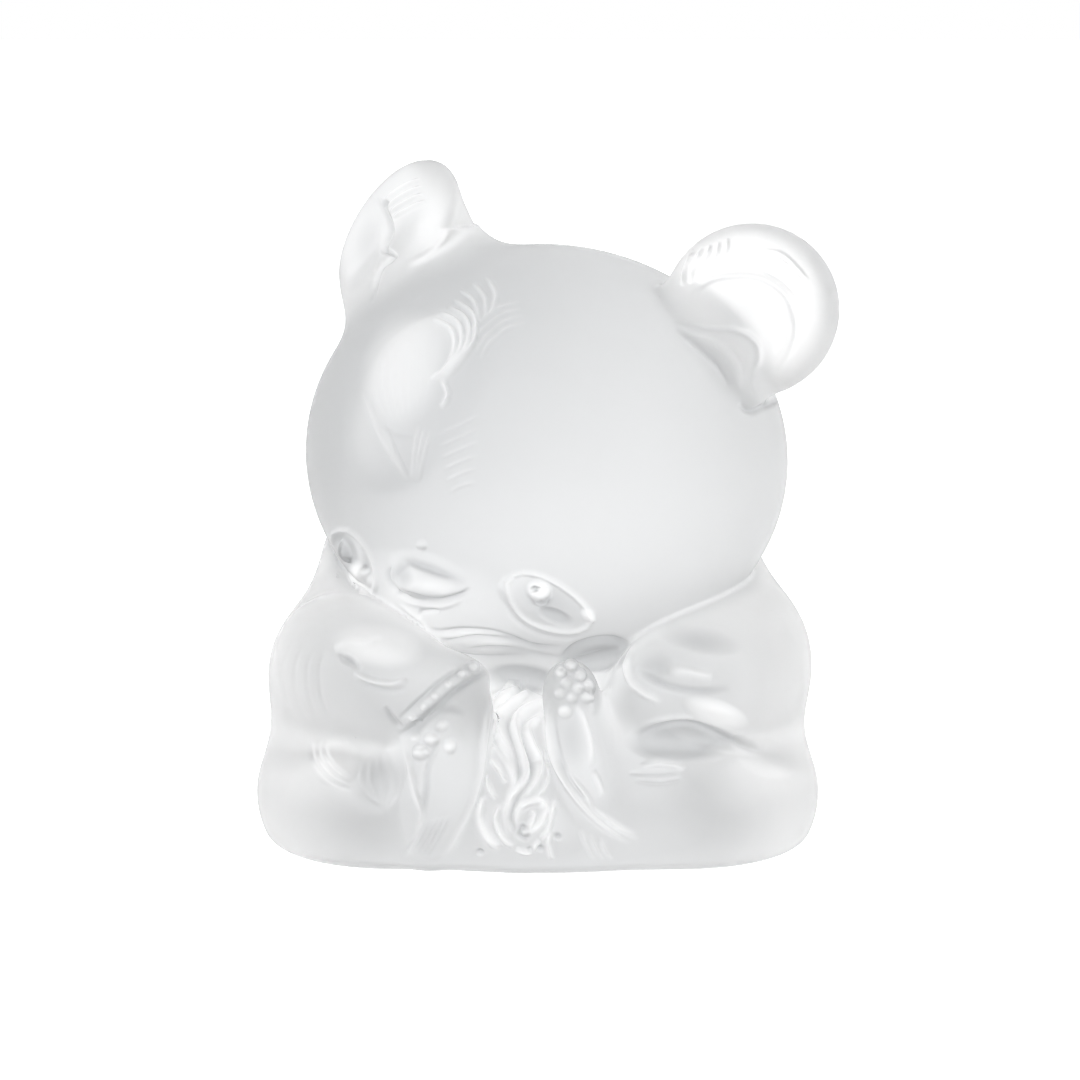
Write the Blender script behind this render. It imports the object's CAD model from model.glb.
"""The casting is drawn as one smooth skin round the same sculpted forms as the solids, then split along
the creases, so that each form is a closed piece that meets its neighbours. Fur, folds and the face
are carved into the skin. Sizes are in millimetres until a mesh is made, and in metres after that.
"""

import math

import bpy
import numpy as np
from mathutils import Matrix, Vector


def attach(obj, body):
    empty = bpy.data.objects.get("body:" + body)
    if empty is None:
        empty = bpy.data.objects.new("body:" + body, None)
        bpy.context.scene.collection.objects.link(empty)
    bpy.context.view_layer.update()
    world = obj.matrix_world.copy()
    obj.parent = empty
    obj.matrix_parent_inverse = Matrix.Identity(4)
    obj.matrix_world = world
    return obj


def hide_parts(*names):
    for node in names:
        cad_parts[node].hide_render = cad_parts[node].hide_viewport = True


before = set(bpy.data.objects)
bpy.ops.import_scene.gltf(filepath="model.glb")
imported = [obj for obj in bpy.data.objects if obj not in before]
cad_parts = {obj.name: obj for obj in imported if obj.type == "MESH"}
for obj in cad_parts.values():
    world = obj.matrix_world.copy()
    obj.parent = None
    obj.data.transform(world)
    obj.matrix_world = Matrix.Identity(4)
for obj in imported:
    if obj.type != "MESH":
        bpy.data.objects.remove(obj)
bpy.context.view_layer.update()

METRES = 0.001

# Spacing of the grid that the skin is drawn from, the space left empty round a form, how far off the
# empty space counts as, and the step that the skin's slope is read over
GRID = 0.3
MARGIN = 2.0
FAR = 9.0
SLOPE_STEP = 0.05

# The photograph: the middle of its picture, millimetres to a pixel at the cub, and how it was taken
PHOTO_MIDDLE = 540.0
PIXEL = 0.125
CAMERA_DISTANCE = 700.0
CAMERA_RISE = math.radians(7.0)
AIM = np.array([0.0, 0.0, 37.5])
SENSOR = 36.0
PHOTO_WIDTH = 1080.0

# Head
HEAD_CENTRE = np.array([0.7, -4.0, 48.6])
HEAD_HALF = np.array([30.9, 27.4, 25.6])
HEAD_TURN = 35.7
HEAD_BOW = 26.3
HEAD_TILT = 8.0


def about_x(degrees):
    c, s = math.cos(math.radians(degrees)), math.sin(math.radians(degrees))
    return np.array([[1, 0, 0], [0, c, -s], [0, s, c]])


def about_y(degrees):
    c, s = math.cos(math.radians(degrees)), math.sin(math.radians(degrees))
    return np.array([[c, 0, s], [0, 1, 0], [-s, 0, c]])


def about_z(degrees):
    c, s = math.cos(math.radians(degrees)), math.sin(math.radians(degrees))
    return np.array([[c, -s, 0], [s, c, 0], [0, 0, 1]])


HEAD_AXES = about_z(-HEAD_TURN) @ about_x(HEAD_BOW) @ about_y(HEAD_TILT)


def on_head(side, rise, proud=0.0):
    """The point where a direction from the head's centre leaves it, moved out by proud."""
    s, r = math.radians(side), math.radians(rise)
    way = np.array([math.sin(s) * math.cos(r), -math.cos(s) * math.cos(r), math.sin(r)])
    reach = 1 / math.sqrt(((way / HEAD_HALF) ** 2).sum())
    return HEAD_CENTRE + HEAD_AXES @ (way * (reach + proud))


def facing(side, rise, roll=0.0):
    return HEAD_AXES @ about_z(side) @ about_x(-rise) @ about_y(roll)


def along(first, second):
    """Axes whose X runs from one point towards another."""
    x = np.array(second) - np.array(first)
    x = x / np.linalg.norm(x)
    y = np.cross([0, 0, 1], x)
    y = y / np.linalg.norm(y)
    return np.stack([x, y, np.cross(x, y)], 1)


# Fields: the distance from a form, negative inside


def smooth_min(a, b, width):
    near = np.maximum(width - np.abs(a - b), 0) / width
    return np.minimum(a, b) - near * near * width * 0.25


def smooth_max(a, b, width):
    return -smooth_min(-a, -b, width)


def from_ellipsoid(points, centre, half, axes):
    local = (points - np.asarray(centre, np.float32)) @ np.asarray(axes, np.float32)
    half = np.asarray(half, np.float32)
    scaled = local / half
    size = np.sqrt((scaled * scaled).sum(-1))
    slope = np.sqrt(((scaled / half) ** 2).sum(-1))
    return (size - 1) * np.maximum(size, 1e-3) / np.maximum(slope, 1e-3 / half.max())


class Form:
    """One sculpted form: its name, its box, how far it is from a point and how softly it joins."""

    def __init__(self, name, centre, half, axes=None, blend=1.0, cup=None):
        self.name = name
        self.centre = np.asarray(centre, float)
        self.half = np.asarray(half, float)
        self.axes = np.eye(3) if axes is None else axes
        self.blend = blend
        self.cup = cup
        reach = np.sqrt(((self.axes * self.half) ** 2).sum(1)) + MARGIN + blend
        self.low, self.high = self.centre - reach, self.centre + reach

    def distance(self, points):
        solid = from_ellipsoid(points, self.centre, self.half, self.axes)
        if self.cup is None:
            return solid
        radius, depth, lip = self.cup
        mouth = self.centre - self.axes[:, 1] * self.half[1]
        hollow = from_ellipsoid(points, mouth, (radius, depth, radius), self.axes)
        return smooth_max(solid, -hollow, lip)


class Cluster:
    """Several forms under one name, joined softly to each other by melt and to the rest by blend."""

    def __init__(self, name, parts, blend, melt):
        self.name = name
        self.parts = parts
        self.blend = blend
        self.melt = melt
        self.low = np.min([part.low for part in parts], 0)
        self.high = np.max([part.high for part in parts], 0)

    def distance(self, points):
        whole = self.parts[0].distance(points)
        for part in self.parts[1:]:
            whole = smooth_min(whole, part.distance(points), self.melt)
        return whole


def from_photo(place, y):
    """The point at that depth which the photograph's camera sees at a pixel."""
    right = (place[0] - PHOTO_MIDDLE) * PIXEL
    rise = (PHOTO_MIDDLE - place[1]) * PIXEL
    c, s = math.cos(CAMERA_RISE), math.sin(CAMERA_RISE)
    eye = AIM - CAMERA_DISTANCE * np.array([0, c, -s])
    ray = np.array([right, CAMERA_DISTANCE * c + rise * s, rise * c - CAMERA_DISTANCE * s])
    return eye + ray * (y - eye[1]) / ray[1]


def beads(name, places, y, radius, blend):
    parts = [Form(name, from_photo(place, y), (radius,) * 3, None, blend) for place in places]
    return Cluster(name, parts, blend, 0.3)


CLAW_PLACES = ((413, 718), (424, 707), (435, 696), (448, 684), (461, 674), (473, 667))
RIGHT_TOE_PLACES = ((421, 752), (432, 739), (450, 746), (442, 727))
LEFT_TOE_PLACES = ((561, 672), (571, 666), (579, 675), (567, 684), (578, 690), (588, 687), (561, 694))

EAR_HALF = (10.8, 4.4, 10.6)
EAR_CUP = (8.2, 2.2, 2.0)


def right_ear():
    """The right ear leans inwards, and a web runs from its inner edge down to the crown."""
    middle = on_head(-108.4, 42.9, 5.4) + np.array([0.3, 0, 0.2])
    blade = Form("right_ear", middle, EAR_HALF, about_y(20) @ about_z(-66) @ about_x(-12), 5.0, EAR_CUP)
    web = Form("right_ear", from_photo((446, 246), middle[1]), (4.2, 3.5, 5.5), about_y(-32), 5.0)
    return Cluster("right_ear", [blade, web], 6.0, 5.0)


def head_forms():
    level = HEAD_AXES
    forms = [
        Form("head", HEAD_CENTRE, HEAD_HALF, level, 0.1),
        Form("muzzle", on_head(0, -15, -5.6), (11.5, 8, 8.5), level, 2.5),
        Form("lower_jaw", on_head(0, -48, -3.6), (12, 8.5, 5), level, 2.0),
        Form("nose_pad", on_head(0, -1.5, 0.5), (4.8, 2.4, 2.4), level, 1.6),
        Form("forehead_tuft", on_head(-18, 46, -2.5), (6.4, 3.2, 9.5), facing(-18, 46), 4.0),
        right_ear(),
        Form(
            "left_ear",
            on_head(115.8, 34.0, 5.4),
            EAR_HALF,
            about_z(-10) @ about_x(-10),
            3.5,
            EAR_CUP,
        ),
    ]
    for side, name in ((-1, "right"), (1, "left")):
        eye = on_head(side * 32, -7, -1.2)
        axes = facing(side * 32, -7, side * 29)
        forms.append(Form(name + "_eye_patch", eye, (6.4, 1.6, 3.7), axes, 0.5))
        ball = on_head(side * 32, -7, -0.35) + axes @ np.array([-side * 1.4, 0, 0.7])
        forms.append(Form(name + "_eyeball", ball, (1.5, 1.5, 1.5), axes, 0.3))
    return forms


def foot(name, centre, half, lean, ball_place, ball_half, ball_lean):
    """A foot set on its heel, blunted at the top by the ball under its toes."""
    sole = Form(name, centre, half, about_y(lean), 2.0)
    ball = Form(name, from_photo(ball_place, centre[1] - 1.0), ball_half, about_y(ball_lean), 2.0)
    return Cluster(name, [sole, ball], 2.2, 2.5)


def body_forms():
    forms = [
        Form("seat", (0, -1.5, 5), (30.5, 28.5, 13.5), None, 3.0),
        Form("back", (0, 6, 28), (28.5, 22, 28), None, 7.0),
        Form("nape", (6, 12, 51.6), (16, 13, 20.5), None, 4.0),
        Form("right_leg", (-21.8, -8.5, 6.6), (13, 20, 12), about_z(14), 5.0),
        Form("left_leg", (21.2, -8.5, 6.6), (13, 20, 12), about_z(-14), 5.0),
        Form("left_shin", (12.7, -18.5, 12.9), (9, 9.5, 11.4), about_y(12), 6.0),
        Form("right_upper_arm", (-23.3, -5, 21.2), (10.5, 16, 11.3), None, 5.5),
        Form("left_upper_arm", (23.3, -5, 22.6), (10.5, 16, 12), None, 5.5),
    ]
    right_elbow, right_paw = (-20, -20.6, 24.4), (-11.8, -25.8, 24)
    right_wrist = (-12.3, -26.2, 21.6)
    left_elbow, left_paw = (20, -18.5, 24.2), (14.2, -24.6, 22.8)
    forms += [
        Form("right_forearm", right_elbow, (12.5, 7.0, 6.8), along(right_elbow, right_wrist), 7.0),
        Form("left_forearm", left_elbow, (12, 7.6, 7.6), along(left_elbow, left_paw), 5.5),
        Form("right_paw", right_paw, (5.6, 3.4, 3.0), None, 3.0),
        Form("left_paw", left_paw, (3.9, 3.9, 3.9), None, 3.5),
        foot("right_foot", (-11.8, -25, 11.6), (5.6, 5.2, 12.2), 10, (452, 718), (5.0, 4.2, 3.8), -36),
        foot("left_foot", (4.9, -25, 13.6), (4, 5.2, 11.6), -9, (571, 690), (2.9, 3.4, 3.2), 0),
        Form("right_sole_pad", (-12.1, -28.5, 10.4), (4.1, 1.8, 8), about_y(10), 0.8),
        Form("left_sole_pad", (5.2, -28.5, 12.8), (2.5, 1.8, 8), about_y(-9), 0.8),
        Form("belly_fur", (-2.5, -17, 8), (7.5, 12.6, 13.5), None, 1.5),
        beads("right_paw_claws", CLAW_PLACES, -28.4, 0.85, 0.3),
        beads("right_toe_pads", RIGHT_TOE_PLACES, -29.2, 1.1, 0.4),
        beads("left_toe_pads", LEFT_TOE_PLACES, -28.2, 0.95, 0.3),
    ]
    return forms


# The head and the body are each softly joined within themselves, and meet at a sharper crease
GROUPS = (head_forms(), body_forms())
FORMS = GROUPS[0] + GROUPS[1]
NECK_BLEND = 0.9
BASE_ROUNDING = 2.0


# Which forms a carving may touch
FACE = (
    "head",
    "muzzle",
    "lower_jaw",
    "nose_pad",
    "right_eye_patch",
    "left_eye_patch",
    "right_eyeball",
    "left_eyeball",
)
TUFT = ("head", "forehead_tuft", "right_ear")
ARM = ("right_forearm", "right_paw", "right_upper_arm", "right_paw_claws")
CREVICE = ("right_forearm", "right_paw", "right_foot", "right_paw_claws", "right_toe_pads", "right_leg")
FOOT = ("right_foot", "right_sole_pad", "right_toe_pads", "right_leg", "seat")
GAP = ("belly_fur", "seat", "back", "lower_jaw", "head", "left_shin", "left_forearm", "left_paw",
       "right_forearm")
KNEE = ("right_leg", "right_upper_arm", "right_forearm", "right_foot", "seat", "back")
FUR = ("belly_fur", "seat", "back")
LFOOT = ("left_foot", "left_sole_pad", "left_toe_pads", "left_shin", "left_leg", "seat")
LARM = ("left_forearm", "left_paw", "left_upper_arm", "left_shin", "back")
SHIN = ("left_shin", "left_leg", "left_forearm", "left_upper_arm", "left_paw", "back")
LEAR = ("left_ear", "head")
REAR = ("right_ear", "head")

# Fur between the feet, as the photograph's pixels
BROAD_LOCKS = [
    [(528, 678), (526, 691), (506, 707), (496, 718), (500, 732), (512, 752), (522, 770)],
    [(548, 698), (526, 708), (516, 720), (520, 740), (526, 765), (524, 780), (510, 802), (506, 820),
     (510, 839)],
    [(546, 715), (528, 726), (532, 745), (539, 760), (535, 780), (519, 800)],
    [(490, 670), (508, 681), (512, 689), (500, 702), (490, 718), (486, 740), (490, 758)],
    [(490, 740), (503, 751), (512, 768), (515, 785), (506, 802)],
    [(483, 795), (480, 820), (490, 841), (501, 848)],
    [(516, 826), (517, 812), (525, 804), (540, 802), (546, 812), (540, 825), (530, 832), (521, 832)],
]
FINE_LOCKS = [
    [(545, 745), (549, 765), (544, 788), (532, 800)],
    [(488, 758), (500, 770), (506, 783)],
    [(483, 771), (490, 788), (496, 800)],
    [(500, 805), (496, 822), (504, 840), (515, 848)],
    [(502, 672), (518, 681), (515, 692), (502, 704)],
    [(496, 671), (507, 680), (505, 689), (495, 700)],
    [(524, 830), (531, 825), (534, 815), (529, 812)],
    [(540, 840), (548, 830), (552, 815), (555, 800)],
    [(552, 860), (548, 845), (551, 830)],
    [(515, 850), (530, 852), (540, 840)],
]
PARTINGS = [
    [(520, 675), (519, 691), (500, 708), (490, 722), (493, 738), (505, 755), (515, 772)],
    [(532, 694), (512, 710), (507, 725), (512, 745), (519, 765), (518, 782), (504, 802)],
    [(540, 712), (522, 724), (525, 745), (532, 765), (530, 782), (515, 802), (512, 820), (516, 838)],
    [(530, 832), (526, 838), (520, 834), (524, 822)],
]
FUR_PITS = ((558, 836), (540, 848), (480, 852), (531, 850), (526, 828))

# Small swells under the toes of the left foot
LEFT_TOE_SWELLS = (
    (561, 672), (571, 666), (580, 676), (566, 683), (578, 689), (588, 686), (560, 694), (587, 698),
    (572, 698),
)

# Carved lines, as the photograph's pixels: the forms, how many strands lie between the two curves,
# half width in pixels, height in millimetres (below zero for a groove), and the curve or curves
STROKES = [
    # nose, lower groove
    (FACE, 1, 2.6, -0.5, [(395, 593), (408, 595), (425, 600), (442, 601), (460, 596), (470, 588)], None),
    # nose, upper edge
    (FACE, 1, 4, -0.35,
     [(396, 593), (392, 582), (394, 571), (408, 561), (420, 564), (440, 571), (458, 578), (468, 584)], None),
    # rim of the left eye
    (FACE, 1, 2.4, 0.26,
     [(507, 583), (510, 600), (522, 617), (543, 628), (573, 632), (592, 622), (582, 604), (560, 586),
      (537, 575), (517, 574), (507, 583)], None),
    # groove outside it
    (FACE, 1, 2.4, -0.14, [(503, 592), (512, 616), (540, 634), (575, 638), (595, 628)], None),
    # rim of the right eye
    (FACE, 1, 2.4, 0.26,
     [(333, 534), (346, 530), (361, 542), (373, 562), (376, 586), (368, 601), (356, 600), (343, 588),
      (333, 568), (330, 548), (333, 534)], None),
    # lip under the nose
    (FACE, 1, 3, 0.18, [(400, 598), (412, 603), (440, 607), (462, 600)], None),
    # philtrum
    (FACE, 1, 2.4, -0.38, [(394, 606), (408, 618), (419, 626), (422, 638), (430, 643), (437, 642)], None),
    # fold beside the philtrum
    (FACE, 1, 2.2, 0.2, [(400, 604), (412, 614), (424, 624), (426, 635), (432, 640)], None),
    # nostril fold
    (FACE, 1, 2.2, -0.3, [(420, 619), (422, 612), (440, 610)], None),
    # upper lip
    (FACE, 1, 2.6, -0.34,
     [(422, 628), (440, 632), (462, 630), (490, 632), (512, 638), (532, 646), (565, 648)], None),
    # ridge between the lips
    (FACE, 1, 2.4, 0.22, [(435, 636), (455, 636), (475, 633), (505, 637)], None),
    # mouth
    (FACE, 1, 2.6, -0.34,
     [(437, 643), (455, 640), (475, 637), (495, 638), (520, 644), (540, 650), (560, 650)], None),
    # lower lip
    (FACE, 1, 2.8, 0.18, [(462, 646), (490, 643), (525, 650), (550, 656)], None),
    # chin fold
    (FACE, 1, 3, -0.3, [(460, 652), (475, 650), (512, 648), (545, 656), (562, 659)], None),
    # rim under the right eye
    (FACE, 1, 3, 0.25, [(328, 582), (340, 593), (352, 603), (365, 606)], None),
    # shine across the forearm
    (ARM, 1, 2.8, 0.6, [(354, 672), (368, 680), (390, 684), (408, 680)], None),
    # fold under it
    (ARM, 1, 2.8, -0.25, [(356, 679), (372, 686), (392, 690), (408, 687)], None),
    # fold over the wrist
    (ARM, 1, 3, -0.3, [(338, 653), (350, 660), (361, 670)], None),
    # wrist ridge
    (ARM, 1, 4, 0.25, [(335, 650), (350, 644), (368, 645), (382, 640)], None),
    # shoulder fur
    (ARM, 4, 2.4, -0.07,
     [(325, 650), (319, 670), (322, 698), (332, 725)], [(292, 640), (282, 670), (285, 700), (302, 732)]),
    # crevice over the right foot
    (CREVICE, 1, 3.4, -0.8, [(398, 736), (408, 730), (431, 712), (456, 690), (484, 673), (494, 668)], None),
    # a second line above the claws
    (CREVICE, 1, 2.4, -0.35, [(396, 722), (418, 702), (443, 680), (468, 664)], None),
    # its upper fold
    (CREVICE, 1, 2.6, -0.35, [(385, 706), (394, 720), (403, 728)], None),
    # band over the toes
    (FOOT, 1, 4.6, -0.5, [(411, 742), (422, 723), (445, 709), (466, 714)], None),
    # fold of the sole
    (FOOT, 1, 2.8, -0.3, [(440, 740), (428, 765), (426, 795), (422, 812)], None),
    # ridge of the sole
    (FOOT, 1, 2.8, 0.2, [(434, 745), (424, 770), (421, 795)], None),
    # right rim of the sole
    (FOOT, 1, 3.0, 0.35, [(494, 688), (488, 715), (484, 745), (479, 780), (466, 815), (440, 864)], None),
    # left rim of the sole
    (FOOT, 1, 3.0, 0.3, [(402, 740), (409, 765), (416, 795), (422, 815), (412, 850), (401, 857)], None),
    # heel lines
    (FOOT, 5, 2.2, -0.18,
     [(426, 821), (415, 838), (406, 852)], [(450, 815), (440, 835), (428, 858)]),
    # hollow beside the foot
    (KNEE, 5, 2.4, 0.07,
     [(364, 760), (360, 780), (368, 795), (380, 805)], [(391, 748), (400, 775), (398, 795), (385, 816)]),
    # knee lines
    (KNEE, 3, 2.4, -0.2,
     [(311, 740), (314, 760), (330, 780), (352, 790)], [(325, 740), (328, 755), (338, 770), (350, 778)]),
    # shade under the chin
    (GAP, 1, 9.5, -0.8,
     [(470, 680), (484, 676), (500, 674), (518, 676), (536, 680), (552, 682), (564, 680)], None),
    # arch over the gap beside the left foot
    (GAP, 1, 5.0, -0.9, [(560, 668), (568, 656), (580, 648), (598, 643), (616, 643), (632, 648)], None),
    # broad locks, fine locks and partings of the fur
    *[(FUR, 1, 3.8, 0.8, curve, None) for curve in BROAD_LOCKS],
    *[(FUR, 1, 2.3, 0.6, curve, None) for curve in FINE_LOCKS],
    *[(FUR, 1, 2.4, -0.6, curve, None) for curve in PARTINGS],
    # left rim of the foot
    (LFOOT, 1, 3.2, 0.5,
     [(550, 700), (549, 725), (552, 752), (560, 772), (578, 800), (602, 825), (632, 843)], None),
    # its parting
    (LFOOT, 1, 2.6, -0.25, [(556, 702), (554, 725), (558, 750), (565, 770), (582, 795), (606, 819)], None),
    # second rim
    (LFOOT, 1, 3.0, 0.4, [(563, 768), (580, 788), (595, 810), (618, 828), (640, 838)], None),
    # right rim of the foot
    (LFOOT, 1, 3.0, 0.5, [(578, 704), (585, 725), (590, 745), (590, 768)], None),
    # line below it
    (LFOOT, 1, 2.6, 0.35, [(593, 770), (598, 782), (603, 796)], None),
    # outer line
    (LFOOT, 1, 2.6, 0.25, [(590, 685), (593, 715)], None),
    # fur at the heel
    (LFOOT, 3, 2.4, 0.2,
     [(580, 830), (586, 845), (594, 860)], [(600, 838), (605, 850), (612, 860)]),
    # rim of the left paw
    (LARM, 1, 3.2, 0.55, [(634, 642), (627, 660), (628, 675), (636, 688), (661, 704)], None),
    # shine of the forearm
    (LARM, 1, 4.5, 0.5, [(668, 670), (690, 673), (712, 678)], None),
    # fold between
    (LARM, 1, 4, -0.45, [(635, 670), (665, 684), (700, 691), (732, 688)], None),
    # brow of the hollow
    (LARM, 1, 3.2, 0.35, [(638, 728), (658, 721), (690, 719), (720, 729), (748, 744)], None),
    # upper edge of the hollow
    (SHIN, 1, 4.2, -0.55, [(635, 738), (658, 727), (690, 723), (718, 732), (745, 746), (765, 752)], None),
    # ledge under the hollow
    (SHIN, 1, 3.2, 0.3, [(640, 766), (662, 764), (685, 768)], None),
    # lines under it
    (SHIN, 2, 2.2, -0.15,
     [(628, 773), (655, 774), (678, 772)], [(635, 780), (660, 782), (682, 778)]),
    # tuft at the upper left
    (LEAR, 5, 2.1, 0.55,
     [(694, 252), (685, 270), (682, 286)], [(728, 238), (725, 255), (712, 276)]),
    # tuft at the upper right
    (LEAR, 5, 2.1, 0.5,
     [(760, 250), (784, 256), (808, 281)], [(760, 268), (782, 280), (799, 298)]),
    # edge of the cup
    (LEAR, 1, 3.2, -0.4,
     [(690, 298), (705, 282), (730, 276), (760, 278), (785, 295), (796, 325), (791, 350), (778, 371)], None),
    # inner ridge
    (LEAR, 1, 3.4, 0.25, [(765, 295), (782, 310), (785, 335), (775, 356)], None),
    # upper fold
    (LEAR, 1, 3.4, -0.35,
     [(669, 322), (700, 328), (735, 331), (755, 342), (758, 360), (750, 380), (755, 396)], None),
    # lower fold
    (LEAR, 1, 3.4, -0.3, [(672, 328), (695, 344), (718, 365), (730, 386)], None),
    # fold between
    (LEAR, 1, 4, 0.3, [(685, 335), (720, 345), (740, 365), (742, 391)], None),
    # foot of the ear
    (LEAR, 1, 3, -0.45, [(738, 404), (752, 411), (770, 404), (790, 395)], None),
    # seam of the ear
    (REAR, 1, 2.4, -0.55,
     [(376, 195), (385, 210), (391, 230), (384, 248), (394, 256), (380, 268), (374, 290), (372, 303)], None),
    # fur of the ear
    (REAR, 4, 1.8, 0.5,
     [(385, 201), (402, 188), (421, 179)], [(393, 218), (410, 209), (426, 201)]),
    # fold at the root
    (REAR, 1, 3.4, 0.22, [(452, 225), (441, 242), (425, 256), (405, 265)], None),
    # arcs beside the whorl
    (TUFT, 4, 2.3, 0.55,
     [(432, 318), (452, 330), (455, 350), (445, 370), (430, 381)],
     [(454, 299), (474, 316), (474, 340), (461, 361), (442, 384)]),
    # tail of the whorl
    (TUFT, 1, 2.3, 0.55, [(443, 380), (448, 395), (441, 408)], None),
    # upper fan
    (TUFT, 3, 2.0, 0.3,
     [(460, 289), (475, 302), (480, 323)], [(486, 276), (496, 295), (491, 316)]),
    # right sweep
    (TUFT, 4, 2.1, 0.18,
     [(468, 342), (475, 328), (495, 310), (520, 302)], [(480, 361), (488, 345), (505, 330), (525, 323)]),
    # left side of the vee
    (TUFT, 4, 1.9, 0.14,
     [(362, 390), (378, 430), (391, 455), (406, 481)], [(381, 415), (391, 440), (400, 460), (410, 481)]),
    # middle of the vee
    (TUFT, 3, 2.1, 0.18,
     [(419, 425), (415, 450), (412, 481)], [(431, 430), (424, 455), (418, 483)]),
    # feathers to the right
    (TUFT, 6, 1.8, 0.08,
     [(435, 436), (458, 426), (481, 415)], [(448, 493), (461, 486), (476, 482)]),
    # grain of the whorl
    (TUFT, 7, 2.0, 0.03,
     [(380, 350), (378, 390), (391, 426)], [(426, 340), (428, 380), (421, 421)]),
    # lower edge of the whorl
    (TUFT, 1, 3, -0.08, [(371, 390), (380, 420), (396, 433), (416, 435)], None),
]

# Rounded swells and hollows: the forms, the middle and the half sizes in the photograph's pixels, the
# slant in degrees, the height in millimetres, and how polished the crystal is there, or how deeply
# shaded where that is below zero
DOMES = [
    (FACE, (422, 545), 7, 6, 0, 0.16, 0.0),  # brow dimple
    (FACE, (549, 604), 42, 22, 26, -0.35, -0.1),  # left eye socket
    (FACE, (556, 618), 20, 8, 20, -0.5, -0.4),  # left eye bed
    (FACE, (539, 591), 14, 13, 0, 0.9, 0.6),  # left eyeball
    (FACE, (536, 589), 6, 5, 0, -0.9, -0.9),  # left pupil
    (FACE, (588, 615), 9, 7, 40, 0.45, 0.8),  # corner of the left eye
    (FACE, (344, 552), 26, 15, 62, -0.5, -0.5),  # right eye socket
    (FACE, (361, 580), 21, 13, 66, 0.7, 1.2),  # right eyeball
    (FACE, (366, 569), 4, 4, 0, -0.2, 0.0),  # right pupil
    (FACE, (437, 587), 26, 11, 12, 0.1, 0.2),  # nose shine
    (FACE, (400, 577), 16, 16, 0, -0.25, -0.6),  # nostril
    (FACE, (430, 569), 32, 8, 22, -0.15, -0.25),  # upper edge of the nose
    (ARM, (378, 646), 50, 24, 8, 0.35, 0.9),  # paw shine
    (ARM, (348, 660), 9, 6, 20, -0.35, 0.0),  # paw dent
    (FOOT, (421, 752), 9, 8, 0, 0.4, 0.3),  # toe
    (FOOT, (432, 739), 9, 8, 0, 0.5, 0.3),  # toe
    (FOOT, (450, 746), 7, 9, 10, 0.4, 0.5),  # toe
    (FOOT, (442, 726), 8, 6, -20, 0.35, 0.2),  # toe
    (FOOT, (415, 738), 6, 6, 0, 0.3, 0.2),  # toe
    *[(CREVICE, place, 5.0, 4.5, 0, 0.45, 0.5) for place in CLAW_PLACES],  # claws
    (KNEE, (380, 780), 28, 38, 25, -0.35, -0.2),  # hollow beside the foot
    (KNEE, (336, 762), 26, 26, 30, 0.5, 1.2),  # knee shine
    (GAP, (520, 682), 44, 20, 0, -0.3, -1.3),  # shade under the chin
    (GAP, (599, 659), 38, 15, -8, -0.8, -1.2),  # shade beside the left foot
    (GAP, (606, 680), 12, 22, 10, 0.0, -0.6),  # shade below it
    *[(FUR, place, 5, 4, 20, -0.6, 0.0) for place in FUR_PITS],  # pits in the fur
    *[(LFOOT, place, 6.5, 6, 0, 0.5, 0.4) for place in LEFT_TOE_SWELLS],  # toes
    (LFOOT, (565, 712), 8, 7, 0, 0.4, 1.0),  # shine of the sole
    (LFOOT, (571, 738), 16, 34, -8, -0.35, 0.0),  # bed of the sole
    (LARM, (700, 638), 46, 16, 12, -0.6, 0.0),  # shadow of the upper fold
    (LARM, (715, 713), 36, 15, 20, 0.6, 1.0),  # wrist shine
    (LARM, (655, 665), 22, 18, 20, -0.4, 0.0),  # paw bed
    (SHIN, (678, 744), 56, 21, 4, -0.9, -0.3),  # hollow under the forearm
    (SHIN, (712, 737), 52, 13, 16, -0.4, -0.35),  # its upper part
    (SHIN, (768, 758), 34, 20, 15, -0.3, -0.35),  # shade at its outer end
    (LEAR, (745, 318), 46, 44, 0, 0.0, -0.6),  # shade in the cup
    (LEAR, (804, 356), 34, 52, 20, 0.1, 1.0),  # shine of the rim
    (LEAR, (702, 262), 24, 24, 0, 0.1, 0.7),  # shine by the tuft
    (REAR, (362, 255), 17, 44, 15, -0.5, 0.0),  # flank of the ear
    (REAR, (395, 215), 60, 80, 10, 0.0, -0.7),  # greyer flank
    (REAR, (385, 203), 5, 4, 0, -0.5, 0.0),  # dark spot
    (TUFT, (402, 370), 44, 66, 12, 0.3, 0.6),  # whorl
]


def field_at(points):
    """The field of the whole casting at scattered points."""
    masses = []
    for group in GROUPS:
        mass = np.full(len(points), FAR, np.float32)
        for form in group:
            inside = np.all((points > form.low) & (points < form.high), axis=1)
            mass[inside] = smooth_min(mass[inside], form.distance(points[inside]), form.blend)
        masses.append(mass)
    return smooth_max(smooth_min(*masses, NECK_BLEND), -points[:, 2], BASE_ROUNDING)


def slope_at(points):
    """The field and its unit slope, which is the skin's outward way."""
    here = field_at(points)
    steps = SLOPE_STEP * np.eye(3, dtype=np.float32)
    slope = np.stack([field_at(points + step) - here for step in steps], 1)
    return here, slope / np.maximum(np.linalg.norm(slope, axis=1, keepdims=True), 1e-9)


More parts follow.
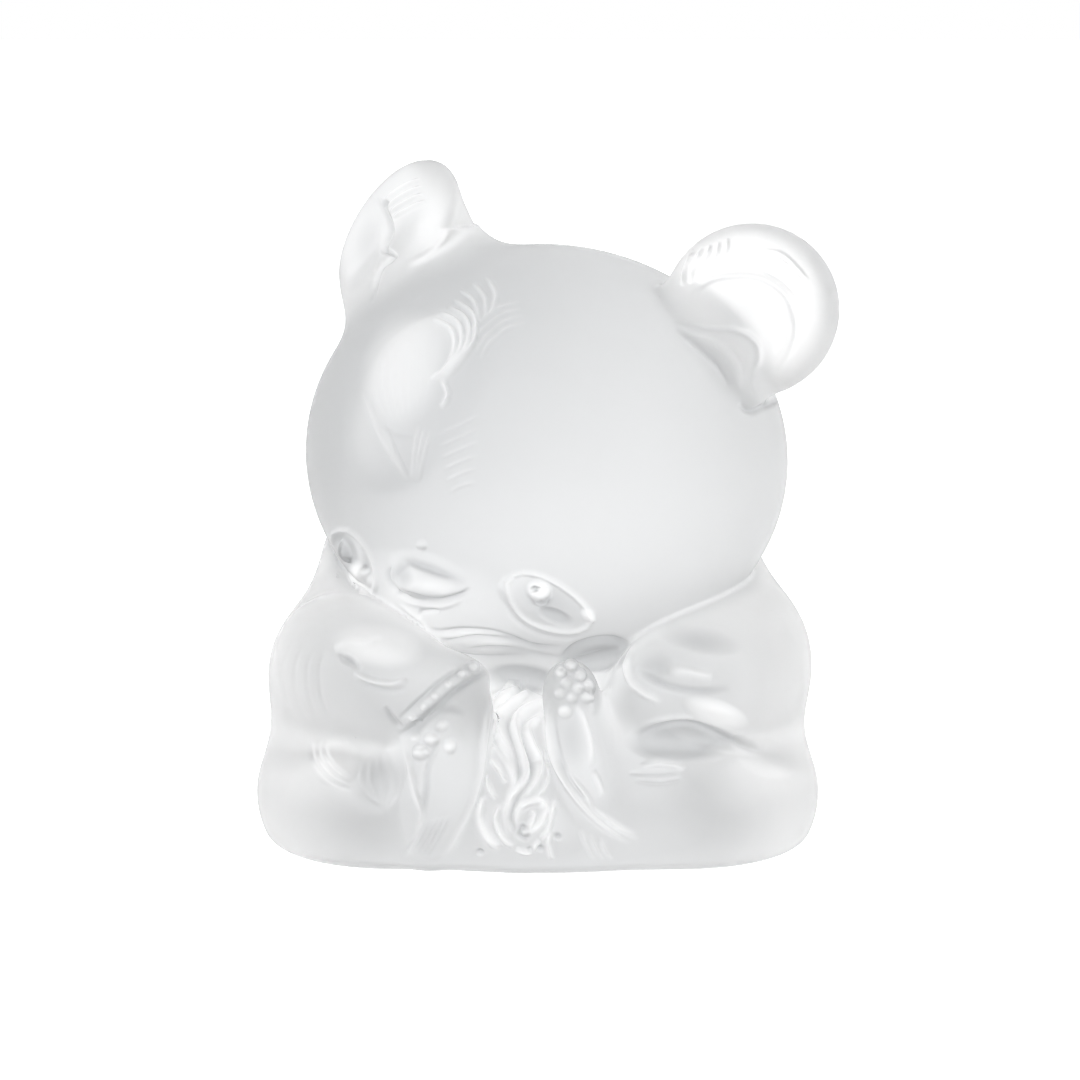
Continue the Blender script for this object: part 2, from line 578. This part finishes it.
def filled_grid():
    """The field on a regular grid, and which form owns each point of it, 0 outside."""
    low = np.min([form.low for form in FORMS], 0)
    high = np.max([form.high for form in FORMS], 0)
    low[2] = -MARGIN
    axes = [np.arange(low[i], high[i] + GRID, GRID, dtype=np.float32) for i in range(3)]
    shape = tuple(len(axis) for axis in axes)
    masses = [np.full(shape, FAR, np.float32) for group in GROUPS]
    closest = np.full(shape, FAR, np.float32)
    owner = np.zeros(shape, np.int8)
    for number, form in enumerate(FORMS, 1):
        cut = tuple(slice(*np.searchsorted(axes[i], (form.low[i], form.high[i]))) for i in range(3))
        points = np.stack(np.meshgrid(*(axes[i][cut[i]] for i in range(3)), indexing="ij"), -1)
        away = form.distance(points)
        mass = masses[0 if number <= len(GROUPS[0]) else 1]
        mass[cut] = smooth_min(mass[cut], away, form.blend)
        nearer = away < closest[cut]
        closest[cut] = np.where(nearer, away, closest[cut])
        owner[cut] = np.where(nearer, number, owner[cut])
    whole = smooth_max(smooth_min(*masses, NECK_BLEND), -axes[2][None, None, :], BASE_ROUNDING)
    owner[whole >= 0] = 0
    return axes, whole, owner


def walls(owner):
    """Four-sided walls between grid points of different owners: cell numbers and the two owners."""
    cells, sides = [], []
    for axis in range(3):
        first = np.moveaxis(owner, axis, 0)[:-1]
        second = np.moveaxis(owner, axis, 0)[1:]
        i, j, k = np.nonzero(first != second)
        sides.append(np.stack([first[i, j, k], second[i, j, k]], 1))
        corners = []
        for dj, dk in ((-1, -1), (0, -1), (0, 0), (-1, 0)):
            place = [i, j + dj, k + dk]
            if axis == 1:
                place = [j + dj, i, k + dk]
            if axis == 2:
                place = [j + dj, k + dk, i]
            corners.append(np.ravel_multi_index(place, owner.shape))
        corners = np.stack(corners, 1)
        if axis == 1:
            corners = corners[:, ::-1]
        cells.append(corners)
    return np.concatenate(cells), np.concatenate(sides)


def cell_points(cells, axes, whole, owner):
    """One point in each cell: on the skin where the cell reaches outside, else midway between forms."""
    shape = owner.shape
    base = np.stack(np.unravel_index(cells, shape), 1)
    corner = np.array([[x, y, z] for x in (0, 1) for y in (0, 1) for z in (0, 1)])
    spot = base[:, None, :] + corner[None]
    own = owner[spot[..., 0], spot[..., 1], spot[..., 2]]
    value = whole[spot[..., 0], spot[..., 1], spot[..., 2]]
    on_skin = (own == 0).any(1)
    total = np.zeros((len(cells), 3))
    count = np.zeros(len(cells))
    for a in range(8):
        for b in range(a + 1, 8):
            if np.abs(corner[a] - corner[b]).sum() != 1:
                continue
            crosses = np.where(
                on_skin, (own[:, a] == 0) != (own[:, b] == 0), own[:, a] != own[:, b]
            )
            gap = value[:, a] - value[:, b]
            share = np.where(on_skin & (np.abs(gap) > 1e-9), value[:, a] / np.where(gap == 0, 1, gap), 0.5)
            share = np.clip(share, 0, 1)[:, None]
            point = corner[a] + (corner[b] - corner[a]) * share
            total += point * crosses[:, None]
            count += crosses
    local = total / np.maximum(count, 1)[:, None]
    start = np.array([axis[0] for axis in axes])
    return start + (base + local) * GRID, on_skin


def photo_place(points):
    """Where the photograph's camera sees each point, in its pixels."""
    forward = np.array([0, math.cos(CAMERA_RISE), -math.sin(CAMERA_RISE)])
    up = np.array([0, math.sin(CAMERA_RISE), math.cos(CAMERA_RISE)])
    from_eye = points - (AIM - CAMERA_DISTANCE * forward)
    scale = CAMERA_DISTANCE / PIXEL / (from_eye @ forward)
    return np.stack([PHOTO_MIDDLE + from_eye[:, 0] * scale, PHOTO_MIDDLE - from_eye @ up * scale], 1)


def plain_material(name):
    material = bpy.data.materials.new(name)
    material.use_nodes = True
    return material


GROOVE_COLOUR = (0.42, 0.43, 0.44, 1)
SATIN_COLOUR = (0.79, 0.796, 0.8, 1)
RIDGE_COLOUR = (1.0, 1.0, 1.0, 1)

# How rough satin and lightly polished crystal are, and how rough either is where polished fully
SATIN_ROUGHNESS = 0.44
LIGHTLY_POLISHED_ROUGHNESS = 0.38
POLISHED_ROUGHNESS = 0.32

# The share of light that the crystal scatters like milk, and the grain of its frosting
MILK = 0.1
REFRACTION = 1.54
GRAIN_SCALE = 900
GRAIN_DETAIL = 3
GRAIN_STRENGTH = 0.08
GRAIN_DEPTH = 0.0001


def crystal(name, roughness):
    """Clear crystal with a finely frosted surface: rough glass with a little milky scatter."""
    material = plain_material(name)
    tree = material.node_tree
    shader = tree.nodes["Principled BSDF"]
    shader.inputs["Roughness"].default_value = roughness
    shader.inputs["IOR"].default_value = REFRACTION
    shader.inputs["Transmission Weight"].default_value = 1 - MILK
    noise = tree.nodes.new("ShaderNodeTexNoise")
    noise.inputs["Scale"].default_value = GRAIN_SCALE
    noise.inputs["Detail"].default_value = GRAIN_DETAIL
    bump = tree.nodes.new("ShaderNodeBump")
    bump.inputs["Strength"].default_value = GRAIN_STRENGTH
    bump.inputs["Distance"].default_value = GRAIN_DEPTH
    where = tree.nodes.new("ShaderNodeTexCoord")
    tree.links.new(where.outputs["Object"], noise.inputs["Vector"])
    tree.links.new(noise.outputs["Fac"], bump.inputs["Height"])
    tree.links.new(bump.outputs["Normal"], shader.inputs["Normal"])
    tone = tree.nodes.new("ShaderNodeAttribute")
    tone.attribute_name = "tone"
    colours = tree.nodes.new("ShaderNodeValToRGB")
    colours.color_ramp.elements[0].color = GROOVE_COLOUR
    colours.color_ramp.elements[1].color = RIDGE_COLOUR
    colours.color_ramp.elements.new(0.5).color = SATIN_COLOUR
    tree.links.new(tone.outputs["Fac"], colours.inputs["Fac"])
    tree.links.new(colours.outputs["Color"], shader.inputs["Base Color"])
    polish = tree.nodes.new("ShaderNodeAttribute")
    polish.attribute_name = "polish"
    rough = tree.nodes.new("ShaderNodeMapRange")
    rough.inputs["To Min"].default_value = roughness
    rough.inputs["To Max"].default_value = POLISHED_ROUGHNESS
    tree.links.new(polish.outputs["Fac"], rough.inputs["Value"])
    tree.links.new(rough.outputs["Result"], shader.inputs["Roughness"])
    return material


def inner_wall():
    """The unseen faces where two forms of the one casting meet."""
    material = plain_material("inner_wall")
    tree = material.node_tree
    tree.nodes.remove(tree.nodes["Principled BSDF"])
    clear = tree.nodes.new("ShaderNodeBsdfTransparent")
    tree.links.new(clear.outputs["BSDF"], tree.nodes["Material Output"].inputs["Surface"])
    return material


SATIN = crystal("satin_crystal", SATIN_ROUGHNESS)
POLISHED = crystal("polished_crystal", LIGHTLY_POLISHED_ROUGHNESS)
WALL = inner_wall()
POLISHED_FORMS = {"forehead_tuft", "right_eyeball", "left_eyeball"}


def smooth_curve(places, steps=6):
    """A curve through the given places, eased at each of them."""
    places = np.array(places, float)
    padded = np.concatenate([2 * places[:1] - places[1:2], places, 2 * places[-1:] - places[-2:-1]])
    t = np.arange(steps)[:, None] / steps
    curve = []
    for a, b, c, d in zip(padded, padded[1:], padded[2:], padded[3:]):
        curve.append(
            0.5 * (2 * b + (c - a) * t + (2 * a - 5 * b + 4 * c - d) * t**2 + (3 * b - a - 3 * c + d) * t**3)
        )
    return np.concatenate(curve + [places[-1:]])


def even_curve(places, count=24):
    curve = smooth_curve(places)
    length = np.concatenate([[0], np.cumsum(np.linalg.norm(np.diff(curve, axis=0), axis=1))])
    stops = np.linspace(0, length[-1], count)
    return np.stack([np.interp(stops, length, curve[:, axis]) for axis in (0, 1)], 1)


def strands(count, first, second):
    """The curve itself, or that many curves spread evenly between two."""
    if second is None:
        return [even_curve(first)]
    a, b = even_curve(first), even_curve(second)
    return [a + (b - a) * share for share in np.linspace(0, 1, count)]


# The share of a carved line over which each end runs out
TAPER = 0.3


def stroke_profile(places, curve, half_width):
    """How strongly a carved line shows at each place, fading to both of its ends."""
    best = np.full(len(places), 1e9)
    share = np.zeros(len(places))
    spans = len(curve) - 1
    for number in range(spans):
        start, step = curve[number], curve[number + 1] - curve[number]
        t = np.clip(((places - start) @ step) / max(step @ step, 1e-9), 0, 1)
        away = ((places - start - t[:, None] * step) ** 2).sum(1)
        nearer = away < best
        best = np.where(nearer, away, best)
        share = np.where(nearer, (number + t) / spans, share)
    closed = np.allclose(curve[0], curve[-1])
    fade = 1.0 if closed else np.clip(np.minimum(share, 1 - share) / TAPER, 0, 1)
    return np.exp(-best / half_width**2) * fade * (2 - fade)


# How much paler a raised millimetre looks than a sunken one
TONE_DEPTH = 1.1

# A skin face is cut finer where the carving moves it by more than this
LEAST_CARVED = 0.004

NAMES = [form.name for form in FORMS]

# How squarely skin faces the camera where carving starts, where it is full and where its tint is full
LEAST_FACING = 0.05
FULL_FACING = 0.3
TINT_FACING = 0.1

# How far a line's edge reaches, in half widths, and how a swell falls off to its rim
LINE_REACH = 2.6
SWELL_FALL = 1.5
TO_CAMERA = np.array([0, -math.cos(CAMERA_RISE), math.sin(CAMERA_RISE)])


# How pale plain crystal is, from 0 to 1. The head is the thickest glass and the greyest, a little paler
# towards its lower left cheek, and the body is greyer towards the feet and the back
HEAD_TONE = 0.24
BODY_TONE = 0.88
THIN_AT = 3.0
CHEEK_TONE = 0.15
FEET_TONE = 0.64
FEET_FROM = -20.0
FEET_OVER = 8.0
BACK_TONE = 0.35
BACK_OVER = 14.0
CHEEK_WAY = np.array([0.6, 0.0, -0.8])


def resting_tone(points):
    """How pale plain crystal looks at each point: paler off the head, greyer at the feet and the back."""
    away = np.clip(FORMS[0].distance(points.astype(np.float32)) / THIN_AT, 0, 1)
    away = away * away * (3 - 2 * away)
    cheek = (points - HEAD_CENTRE) @ CHEEK_WAY / HEAD_HALF[0]
    front = np.clip((FEET_FROM - points[:, 1]) / FEET_OVER, 0, 1)
    rear = np.clip(points[:, 1] / BACK_OVER, 0, 1)
    body = BODY_TONE - FEET_TONE * front - BACK_TONE * rear
    return (HEAD_TONE + CHEEK_TONE * cheek) * (1 - away) + body * away


def member_bits(count, faces, owners):
    """For each point, one bit for every form whose skin it is on."""
    bits = np.zeros(count, np.int64)
    for corner in range(faces.shape[1]):
        np.bitwise_or.at(bits, faces[:, corner], np.int64(1) << owners.astype(np.int64))
    return bits


def carving(points, out, bits):
    """How far each point of the skin moves outwards, how polished it is and how pale it looks."""
    places = photo_place(points)
    toward = out @ TO_CAMERA
    shown = np.clip((toward - LEAST_FACING) / (FULL_FACING - LEAST_FACING), 0, 1)
    tinted = np.clip(toward / TINT_FACING, 0, 1)
    height, polish, shade = np.zeros(len(points)), np.zeros(len(points)), np.zeros(len(points))

    def among(group, low, high):
        wanted = sum(1 << (NAMES.index(name) + 1) for name in group)
        inside = (bits & wanted != 0) & (tinted > 0)
        return np.nonzero(inside & np.all((places > low) & (places < high), axis=1))[0]

    for group, count, half_width, tall, first, second in STROKES:
        for curve in strands(count, first, second):
            margin = LINE_REACH * half_width
            chosen = among(group, curve.min(0) - margin, curve.max(0) + margin)
            if len(chosen):
                height[chosen] += tall * stroke_profile(places[chosen], curve, half_width)
    for group, middle, half_a, half_b, slant, tall, shine in DOMES:
        reach = max(half_a, half_b)
        middle = np.array(middle, float)
        chosen = among(group, middle - reach, middle + reach)
        if not len(chosen):
            continue
        c, s = math.cos(math.radians(slant)), math.sin(math.radians(slant))
        offset = places[chosen] - middle
        a = (offset @ np.array([c, s])) / half_a
        b = (offset @ np.array([-s, c])) / half_b
        round_off = np.clip(1 - a * a - b * b, 0, 1) ** SWELL_FALL
        height[chosen] += tall * round_off
        polish[chosen] = np.maximum(polish[chosen], shine * round_off)
        shade[chosen] = np.minimum(shade[chosen], shine * round_off)
    tone = resting_tone(points) + 0.5 * tinted * (TONE_DEPTH * height + polish + shade)
    polish, tone = np.clip(polish, 0, 1), np.clip(tone, 0, 1)
    return height * shown, polish * shown, tone


def edge_keys(faces, count):
    """One number for each side of each face, the same from both faces that share it."""
    first, second = faces, np.roll(faces, -1, axis=1)
    return np.minimum(first, second).astype(np.int64) * count + np.maximum(first, second)


def polygons(quads, split, edges, middles, centres, count):
    """Corner lists of the faces once the split ones are cut in four and the rest take in the new points."""
    keys = edge_keys(quads, count)
    spot = np.clip(np.searchsorted(edges, keys), 0, len(edges) - 1)
    has = edges[spot] == keys
    mid = middles[spot]
    whole = ~split
    ring = np.stack([quads[whole], mid[whole]], 2).reshape(-1, 8)
    keep = np.stack([np.ones_like(has[whole]), has[whole]], 2).reshape(-1, 8)
    sizes = keep.sum(1)
    loose = ring[keep]
    q, m, centre = quads[split], mid[split], centres[:, None]
    parts = [
        np.concatenate([q[:, [i]], m[:, [i]], centre, m[:, [i - 1]]], 1) for i in range(4)
    ]
    fours = np.stack(parts, 1).reshape(-1, 4)
    return loose, sizes, fours


def build_piece(name, quads, inner, split, refined, points, skin_normals, finish):
    """Makes one form's closed mesh from its share of the walls."""
    edges, middles, centres, count = refined
    loose, sizes, fours = polygons(quads, split, edges, middles, centres, count)
    corners = np.concatenate([loose, fours.ravel()])
    sizes = np.concatenate([sizes, np.full(len(fours), 4)])
    inner = np.concatenate([inner[~split], np.zeros(len(fours), bool)])
    used, corners = np.unique(corners, return_inverse=True)
    corners = corners.reshape(-1)
    starts = np.concatenate([[0], np.cumsum(sizes)[:-1]])
    mesh = bpy.data.meshes.new(name)
    mesh.vertices.add(len(used))
    mesh.vertices.foreach_set("co", (points[used] * METRES).astype(np.float32).ravel())
    mesh.loops.add(len(corners))
    mesh.loops.foreach_set("vertex_index", corners.astype(np.int32))
    mesh.polygons.add(len(sizes))
    mesh.polygons.foreach_set("loop_start", starts.astype(np.int32))
    mesh.polygons.foreach_set("material_index", inner.astype(np.int32))
    mesh.update(calc_edges=True)
    mesh.shade_smooth()
    flat = np.zeros(len(sizes) * 3, np.float32)
    mesh.polygons.foreach_get("normal", flat)
    flat = np.repeat(flat.reshape(-1, 3), sizes, 0)
    normals = np.where(np.repeat(inner, sizes)[:, None], flat, skin_normals[used][corners])
    mesh.normals_split_custom_set(normals.tolist())
    for label, values in finish.items():
        layer = mesh.attributes.new(label, "FLOAT", "POINT")
        layer.data.foreach_set("value", values[used].astype(np.float32))
    polished = name in POLISHED_FORMS
    mesh.materials.append(POLISHED if polished else SATIN)
    mesh.materials.append(WALL)
    piece = bpy.data.objects.new(name + "_glass", mesh)
    bpy.context.scene.collection.objects.link(piece)
    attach(piece, "root")
    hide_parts(name)


def settle(points, steps=2):
    """Moves points onto the skin and gives its outward way there."""
    for step in range(steps):
        here, out = slope_at(points.astype(np.float32))
        points = points - here[:, None] * out
    return points, out


def build_casting():
    axes, whole, owner = filled_grid()
    cells, sides = walls(owner)
    numbers, quads = np.unique(cells, return_inverse=True)
    quads = quads.reshape(-1, 4)
    points, on_skin = cell_points(numbers, axes, whole, owner)
    del whole, owner
    count = len(points)
    out = np.zeros_like(points)
    skin = np.nonzero(on_skin)[0]
    points[skin], out[skin] = settle(points[skin], 1)

    # Faces of the skin, and the carved ones among them, which are cut in four
    outer = (sides == 0).any(1)
    skin_owner = sides.max(1)
    bits = member_bits(count, quads[outer], skin_owner[outer])
    height = np.zeros(count)
    height[skin] = carving(points[skin], out[skin], bits[skin])[0]
    split = outer & (np.abs(height[quads]) > LEAST_CARVED).any(1)
    edges = np.unique(edge_keys(quads[split], count))
    middles = count + np.arange(len(edges))
    centres = np.zeros(len(quads), np.int64)
    centres[split] = count + len(edges) + np.arange(split.sum())
    new = np.concatenate(
        [(points[edges // count] + points[edges % count]) / 2, points[quads[split]].mean(1)]
    )
    new, new_out = settle(new)
    points, out = np.concatenate([points, new]), np.concatenate([out, new_out])

    # The finished skin: carved along the way it faces, with one smooth set of normals
    on_skin = np.concatenate([on_skin, np.ones(len(new), bool)])
    flip = sides[:, 0] == 0
    faces = np.where(flip[:, None], quads[:, ::-1], quads)
    coarse = outer & ~split
    all_split = np.ones(split.sum(), bool)
    fours = polygons(faces[split], all_split, edges, middles, centres[split], count)[2]
    fine_owner = np.repeat(skin_owner[split], 4)
    bits = member_bits(len(points), faces[coarse], skin_owner[coarse])
    bits |= member_bits(len(points), fours, fine_owner)
    skin = np.nonzero(on_skin)[0]
    height, polish, tone = np.zeros(len(points)), np.zeros(len(points)), np.full(len(points), BODY_TONE)
    height[skin], polish[skin], tone[skin] = carving(points[skin], out[skin], bits[skin])
    finish = {"polish": polish, "tone": tone}
    points = points + height[:, None] * out
    points[:, 2] = np.maximum(points[:, 2], 0)
    skin_faces = np.concatenate([faces[coarse], fours])
    across = np.cross(
        points[skin_faces[:, 2]] - points[skin_faces[:, 0]],
        points[skin_faces[:, 3]] - points[skin_faces[:, 1]],
    )
    normals = np.zeros_like(points)
    for corner in range(4):
        np.add.at(normals, skin_faces[:, corner], across)
    normals /= np.maximum(np.linalg.norm(normals, axis=1, keepdims=True), 1e-12)

    for number, form in enumerate(FORMS, 1):
        front, back = sides[:, 0] == number, sides[:, 1] == number
        mine = np.concatenate([quads[front], quads[back][:, ::-1]])
        inner = np.concatenate([sides[front, 1], sides[back, 0]]) != 0
        parted = np.concatenate([split[front], split[back]])
        middle = np.concatenate([centres[front], centres[back]])[parted]
        refined = (edges, middles, middle, count)
        build_piece(form.name, mine, inner, parted, refined, points, normals, finish)


build_casting()


TABLE_HALF = 3.0
TABLE_COLOUR = (0.5, 0.5, 0.5, 1)
TABLE_ROUGHNESS = 0.8
TABLE_GLOW = 1.1
LIGHT_WAY = (-0.1, 0.35, -0.93)
DIMMEST = 0.47
BRIGHTEST = 1.45
KEY_POWER = 0.3
KEY_SIZE = 0.35
KEY_PLACE = (-0.3, -0.35, 0.45)
KEY_AIM = (0, 0, 0.04)
WALL_BOUNCES = 64
GLASS_BOUNCES = 20


def build_stage():
    """A pale lit table top, as in a product photograph."""
    half = TABLE_HALF
    corners = [(-half, -half, 0), (half, -half, 0), (half, half, 0), (-half, half, 0)]
    mesh = bpy.data.meshes.new("table_top")
    mesh.from_pydata(corners, [], [(0, 1, 2, 3)])
    floor = bpy.data.objects.new("table_top", mesh)
    bpy.context.scene.collection.objects.link(floor)
    material = plain_material("table_top")
    shader = material.node_tree.nodes["Principled BSDF"]
    shader.inputs["Base Color"].default_value = TABLE_COLOUR
    shader.inputs["Roughness"].default_value = TABLE_ROUGHNESS
    shader.inputs["Emission Color"].default_value = (1, 1, 1, 1)
    shader.inputs["Emission Strength"].default_value = TABLE_GLOW
    mesh.materials.append(material)


def build_surround():
    """White all round to the eye, and as light dimmest overhead, so that the crown is the greyest part."""
    world = bpy.data.worlds.new("studio")
    bpy.context.scene.world = world
    world.use_nodes = True
    tree = world.node_tree
    tree.nodes.clear()
    where = tree.nodes.new("ShaderNodeTexCoord")
    toward = tree.nodes.new("ShaderNodeVectorMath")
    toward.operation = "DOT_PRODUCT"
    toward.inputs[1].default_value = LIGHT_WAY
    spread = tree.nodes.new("ShaderNodeMapRange")
    spread.interpolation_type = "SMOOTHSTEP"
    spread.inputs["From Min"].default_value = -1
    spread.inputs["To Min"].default_value = DIMMEST
    spread.inputs["To Max"].default_value = BRIGHTEST
    light = tree.nodes.new("ShaderNodeBackground")
    seen = tree.nodes.new("ShaderNodeBackground")
    path = tree.nodes.new("ShaderNodeLightPath")
    pick = tree.nodes.new("ShaderNodeMixShader")
    out = tree.nodes.new("ShaderNodeOutputWorld")
    light.inputs["Color"].default_value = (1, 1, 1, 1)
    seen.inputs["Color"].default_value = (1, 1, 1, 1)
    tree.links.new(where.outputs["Generated"], toward.inputs[0])
    tree.links.new(toward.outputs["Value"], spread.inputs["Value"])
    tree.links.new(spread.outputs["Result"], light.inputs["Strength"])
    tree.links.new(path.outputs["Is Camera Ray"], pick.inputs[0])
    tree.links.new(light.outputs["Background"], pick.inputs[1])
    tree.links.new(seen.outputs["Background"], pick.inputs[2])
    tree.links.new(pick.outputs["Shader"], out.inputs["Surface"])


def area_light(name, place, aim, size, power):
    data = bpy.data.lights.new(name, "AREA")
    data.size = size
    data.energy = power
    lamp = bpy.data.objects.new(name, data)
    bpy.context.scene.collection.objects.link(lamp)
    lamp.location = place
    lamp.rotation_mode = "QUATERNION"
    lamp.rotation_quaternion = (Vector(aim) - Vector(place)).to_track_quat("-Z", "Y")


def build_camera():
    data = bpy.data.cameras.new("photo_camera")
    data.sensor_width = SENSOR
    data.lens = SENSOR * CAMERA_DISTANCE / (PHOTO_WIDTH * PIXEL)
    camera = bpy.data.objects.new("photo_camera", data)
    bpy.context.scene.collection.objects.link(camera)
    back = Vector((0, -math.cos(CAMERA_RISE), math.sin(CAMERA_RISE)))
    camera.location = (Vector(AIM) + back * CAMERA_DISTANCE) * METRES
    camera.rotation_mode = "QUATERNION"
    camera.rotation_quaternion = (-back).to_track_quat("-Z", "Y")
    bpy.context.scene.camera = camera


build_stage()
build_surround()
area_light("key", KEY_PLACE, KEY_AIM, KEY_SIZE, KEY_POWER)
build_camera()

# Light passes many walls inside the crystal before it is lost
bpy.context.scene.cycles.transparent_max_bounces = WALL_BOUNCES
bpy.context.scene.cycles.transmission_bounces = GLASS_BOUNCES
bpy.context.scene.cycles.max_bounces = GLASS_BOUNCES
bpy.context.scene.view_settings.view_transform = "Standard"
